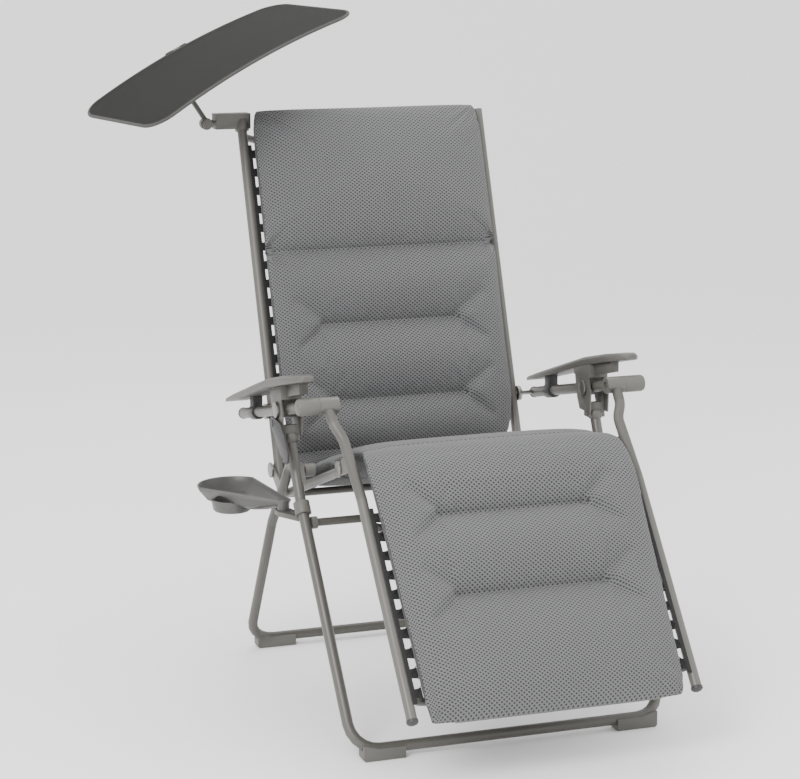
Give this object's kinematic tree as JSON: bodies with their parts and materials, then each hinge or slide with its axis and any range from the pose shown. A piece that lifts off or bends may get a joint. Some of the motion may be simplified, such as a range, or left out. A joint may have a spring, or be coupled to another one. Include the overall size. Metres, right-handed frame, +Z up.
{
  "type": "zero gravity recliner",
  "caption": "Folding outdoor recliner: round-tube frame, laced padded sling, sliding arms, hinged leg rest, tilting sunshade and swivelling cup tray.",
  "frame": {"origin": "centre of the bounding box on the floor, with the chair at rest as pictured", "axes": "+Z up, -Y the way the sitter faces (leg-rest end), +X to the sitter's left; the sunshade and the cup tray are on the -X side"},
  "size_m": [0.9928, 1.2456, 1.3929],
  "materials": {
    "frame_paint": "satin powder coat, warm dark grey",
    "plastic": "fine-grained moulded plastic, dark grey",
    "black_plastic": "moulded plastic, black",
    "steel": "zinc-plated, darkened",
    "pad_fabric": "padded open-cell mesh cloth, grey",
    "shade_fabric": "tight woven cloth, near black",
    "elastic": "braided elastic cord, black"
  },
  "bodies": {
    "base": {"front_leg_frame": "frame_paint", "front_foot_cover_left": "plastic", "front_foot_cover_right": "plastic", "front_crossbar": "frame_paint", "leg_head_left": "plastic", "leg_head_right": "plastic", "rear_leg_bolt_left": "steel", "rear_leg_bolt_right": "steel", "tray_collar": "black_plastic"},
    "rear_legs": {"rear_leg_frame": "frame_paint", "rear_foot_cover_left": "plastic", "rear_foot_cover_right": "plastic"},
    "arm_clamp": {"clamp_pin_inner_left": "steel", "clamp_pin_inner_right": "steel", "clamp_pin_outer_left": "steel", "clamp_pin_outer_right": "steel"},
    "arms": {"armrest_left": "plastic", "armrest_right": "plastic", "arm_housing_left": "plastic", "arm_housing_right": "plastic", "arm_rear_bush_left": "black_plastic", "arm_rear_bush_right": "black_plastic"},
    "lock_lever": {"lock_lever": "black_plastic"},
    "arm_slide": {"arm_tube_left": "frame_paint", "arm_tube_right": "frame_paint", "arm_tube_plug_left": "black_plastic", "arm_tube_plug_right": "black_plastic", "arm_knuckle_left": "plastic", "arm_knuckle_right": "plastic"},
    "back_pivots": {"back_pivot_bolt_left": "steel", "back_pivot_bolt_right": "steel"},
    "back": {"back_frame": "frame_paint", "back_pad": "pad_fabric", "back_lacing_left": "elastic", "back_lacing_right": "elastic", "shade_clip": "plastic"},
    "seat_pivots": {"seat_hinge_pin_left": "steel", "seat_hinge_pin_right": "steel"},
    "seat": {"seat_frame": "frame_paint", "seat_pad": "pad_fabric", "seat_lacing_left": "elastic", "seat_lacing_right": "elastic"},
    "knee_pivots": {"knee_hinge_pin_left": "steel", "knee_hinge_pin_right": "steel"},
    "leg_rest": {"leg_rest_frame": "frame_paint", "leg_rest_pad": "pad_fabric", "leg_rest_lacing_left": "elastic", "leg_rest_lacing_right": "elastic", "leg_rest_plug_left": "black_plastic", "leg_rest_plug_right": "black_plastic"},
    "shade_arm": {"shade_arm": "plastic"},
    "shade": {"shade_panel": "shade_fabric"},
    "tray_pivot": {"tray_pin": "steel"},
    "tray": {"tray": "plastic"}
  },
  "joints": [
    {"name": "fold", "type": "hinge", "parent": "base", "child": "arm_clamp", "pos_m": [0.11686, -0.00446, 0.61746], "axis": [1, 0, 0], "range_deg": [-66, 0]},
    {"name": "arm_tilt", "type": "hinge", "parent": "arm_clamp", "child": "arms", "pos_m": [0.11686, -0.00446, 0.61746], "axis": [1, 0, 0], "range_deg": [-8.1, 0]},
    {"name": "recline", "type": "slide", "parent": "arms", "child": "arm_slide", "axis": [0, 0.9759, -0.2183], "range_m": [0, 0.1]},
    {"name": "back_fold", "type": "hinge", "parent": "arm_slide", "child": "back_pivots", "pos_m": [0.11686, 0.29269, 0.551], "axis": [1, 0, 0], "range_deg": [0, 66]},
    {"name": "back_recline", "type": "hinge", "parent": "back_pivots", "child": "back", "pos_m": [0.11686, 0.29269, 0.551], "axis": [1, 0, 0], "range_deg": [-38.3, 0]},
    {"name": "seat_fold", "type": "hinge", "parent": "back", "child": "seat_pivots", "pos_m": [0.11686, 0.25769, 0.431], "axis": [1, 0, 0], "range_deg": [-66, 0]},
    {"name": "seat_recline", "type": "hinge", "parent": "seat_pivots", "child": "seat", "pos_m": [0.11686, 0.25769, 0.431], "axis": [1, 0, 0], "range_deg": [0, 38.3], "deforming": ["back_pad", "seat_pad"]},
    {"name": "leg_fold", "type": "hinge", "parent": "seat", "child": "knee_pivots", "pos_m": [0.11686, -0.20731, 0.535], "axis": [1, 0, 0], "range_deg": [0, 66]},
    {"name": "leg_recline", "type": "hinge", "parent": "knee_pivots", "child": "leg_rest", "pos_m": [0.11686, -0.20731, 0.535], "axis": [1, 0, 0], "range_deg": [-38.3, 0], "deforming": ["leg_rest_pad"]},
    {"name": "rear_leg_fold", "type": "hinge", "parent": "base", "child": "rear_legs", "pos_m": [0.11686, -0.03946, 0.49746], "axis": [1, 0, 0], "range_deg": [-66, 0]},
    {"name": "tray_swing_out", "type": "hinge", "parent": "base", "child": "tray_pivot", "pos_m": [-0.23414, -0.02031, 0.437], "axis": [0, 0, 1], "range_deg": [0, 90]},
    {"name": "tray_swivel", "type": "hinge", "parent": "tray_pivot", "child": "tray", "pos_m": [-0.23414, -0.02031, 0.437], "axis": [0, 0, 1], "range_deg": [0, 75]},
    {"name": "lock_lever_turn", "type": "hinge", "parent": "arms", "child": "lock_lever", "pos_m": [-0.23964, 0.01069, 0.588], "axis": [1, 0, 0], "range_deg": [0, 30]},
    {"name": "shade_swing", "type": "hinge", "parent": "back", "child": "shade_arm", "pos_m": [-0.23514, 0.51169, 1.145], "axis": [0, 1, 0], "range_deg": [-50, 30]},
    {"name": "shade_tilt", "type": "hinge", "parent": "shade_arm", "child": "shade", "pos_m": [-0.27943, 0.57546, 1.29657], "axis": [0.8838, 0.2309, 0.4069], "range_deg": [-40, 35]}
  ],
  "couplings": [
    {"joint": "arm_tilt", "follows": "recline", "rad_per_m": -1.3997},
    {"joint": "back_recline", "follows": "recline", "rad_per_m": -6.6413},
    {"joint": "seat_recline", "follows": "recline", "rad_per_m": 6.6413},
    {"joint": "leg_recline", "follows": "recline", "rad_per_m": -6.6413},
    {"joint": "back_fold", "follows": "fold", "ratio": -1},
    {"joint": "seat_fold", "follows": "fold", "ratio": 1},
    {"joint": "leg_fold", "follows": "fold", "ratio": -1},
    {"joint": "rear_leg_fold", "follows": "fold", "ratio": 1},
    {"joint": "tray_swing_out", "follows": "fold", "ratio": -1.3636}
  ]
}
